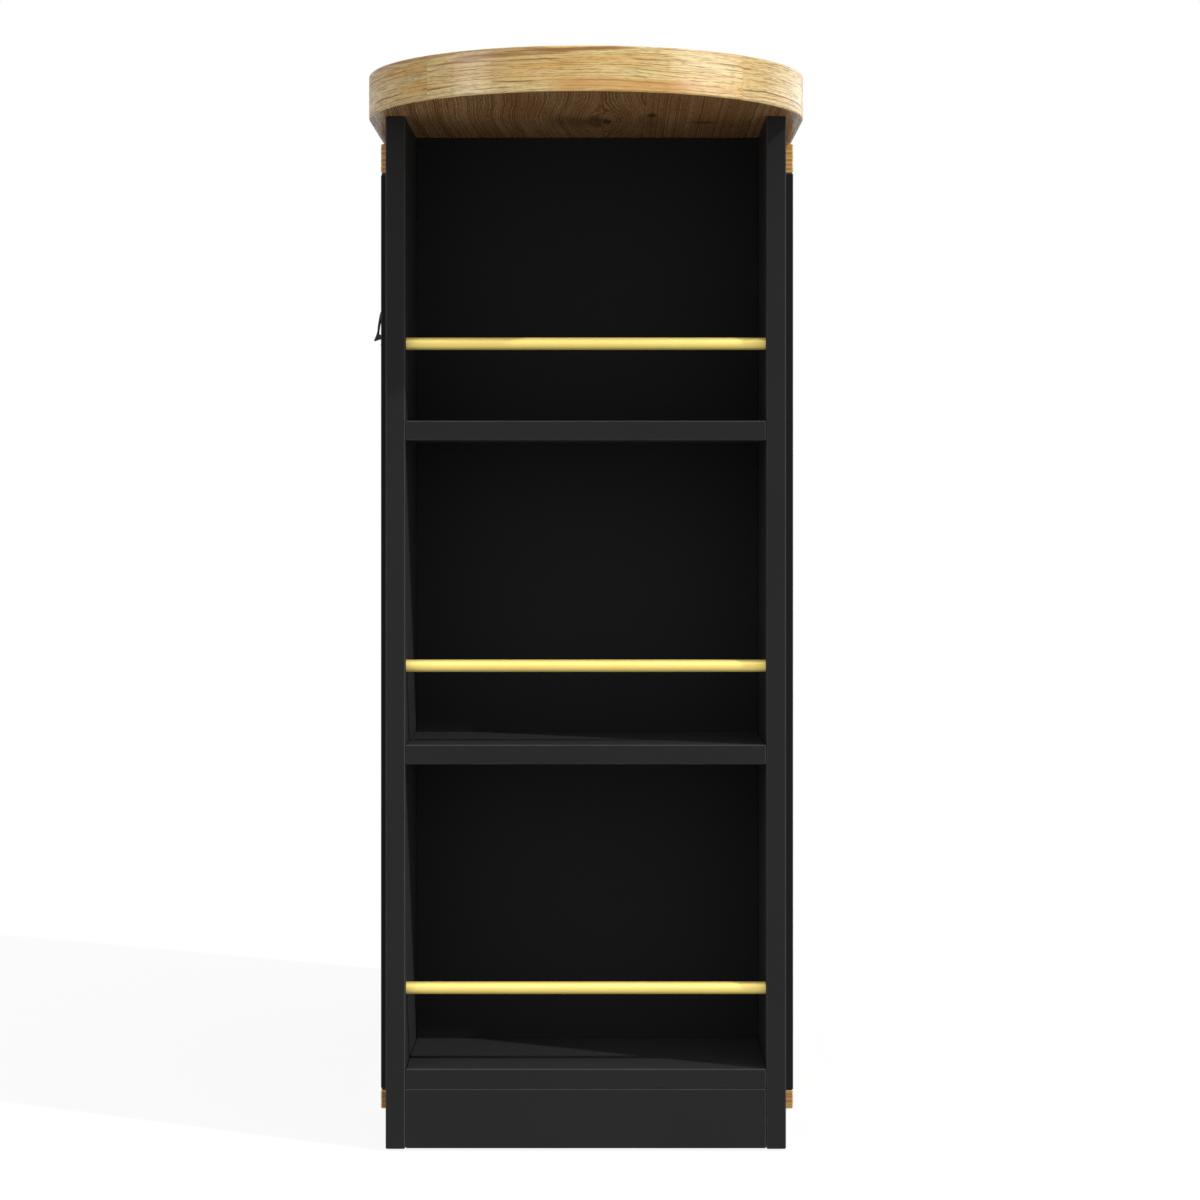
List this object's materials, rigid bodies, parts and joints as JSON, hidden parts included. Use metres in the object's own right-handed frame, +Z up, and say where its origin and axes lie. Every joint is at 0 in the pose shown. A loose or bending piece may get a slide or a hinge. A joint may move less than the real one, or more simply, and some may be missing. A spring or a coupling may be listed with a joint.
{
  "type": "bar table",
  "caption": "Bar-height table cabinet: thick oak-look top with a round end, matt black body, open end rack with brass rails, and pivot-hung doors along one long side.",
  "frame": {"origin": "on the floor, under the middle of the bounding box", "axes": "+Z up; the open rack end faces -Y, the doors face -X, the guest side faces +X"},
  "size_m": [0.4573, 1, 1.05],
  "materials": {
    "oak": "satin oak-look laminate with straight grain",
    "black_board": "matt black coated board",
    "brass": "satin gold",
    "steel": "plain zinc-plated",
    "black_metal": "matt black paint",
    "rubber": "matt",
    "grey_plastic": "matt moulded plastic"
  },
  "bodies": {
    "carcass": {"cabinet_bottom_board": "black_board", "cabinet_far_side": "black_board", "cabinet_front_plinth": "black_board", "cabinet_front_top_rail": "black_board", "cabinet_near_side": "black_board", "cabinet_rear_plinth": "black_board", "cabinet_rear_top_rail": "black_board", "cabinet_shelf": "black_board", "end_back_panel": "black_board", "end_bottom_board": "black_board", "end_left_side": "black_board", "end_lower_shelf": "black_board", "end_plinth": "black_board", "end_right_side": "black_board", "end_upper_shelf": "black_board", "far_door_bottom_bush": "grey_plastic", "far_door_bumper": "rubber", "far_door_top_bush": "grey_plastic", "far_magnetic_catch": "grey_plastic", "front_bottom_strip": "oak", "front_top_strip": "oak", "glide_far_left": "grey_plastic", "glide_far_right": "grey_plastic", "glide_near_left": "grey_plastic", "glide_near_right": "grey_plastic", "guest_bottom_strip": "oak", "guest_panel": "black_board", "guest_top_strip": "oak", "near_door_bottom_bush": "grey_plastic", "near_door_bumper": "rubber", "near_door_top_bush": "grey_plastic", "near_magnetic_catch": "grey_plastic", "rail_lower": "brass", "rail_middle": "brass", "rail_upper": "brass", "shelf_pin_far_front": "steel", "shelf_pin_far_rear": "steel", "shelf_pin_near_front": "steel", "shelf_pin_near_rear": "steel", "worktop": "oak", "worktop_bracket_front_far": "steel", "worktop_bracket_front_near": "steel", "worktop_bracket_rear_far": "steel", "worktop_bracket_rear_near": "steel"},
    "near_door": {"near_door": "black_board", "near_door_bottom_pivot": "steel", "near_door_pull": "black_metal", "near_door_pull_lower_screw": "steel", "near_door_pull_upper_screw": "steel", "near_door_strike": "steel", "near_door_top_pivot": "steel"},
    "far_door": {"far_door": "black_board", "far_door_bottom_pivot": "steel", "far_door_pull": "black_metal", "far_door_pull_lower_screw": "steel", "far_door_pull_upper_screw": "steel", "far_door_strike": "steel", "far_door_top_pivot": "steel"}
  },
  "joints": [
    {"name": "near_door_hinge", "type": "hinge", "parent": "carcass", "child": "near_door", "pos_m": [-0.1925, -0.1397, 0.5], "axis": [0, 0, 1], "range_deg": [0, 110]},
    {"name": "far_door_hinge", "type": "hinge", "parent": "carcass", "child": "far_door", "pos_m": [-0.1925, 0.491, 0.5], "axis": [0, 0, -1], "range_deg": [0, 110]}
  ]
}
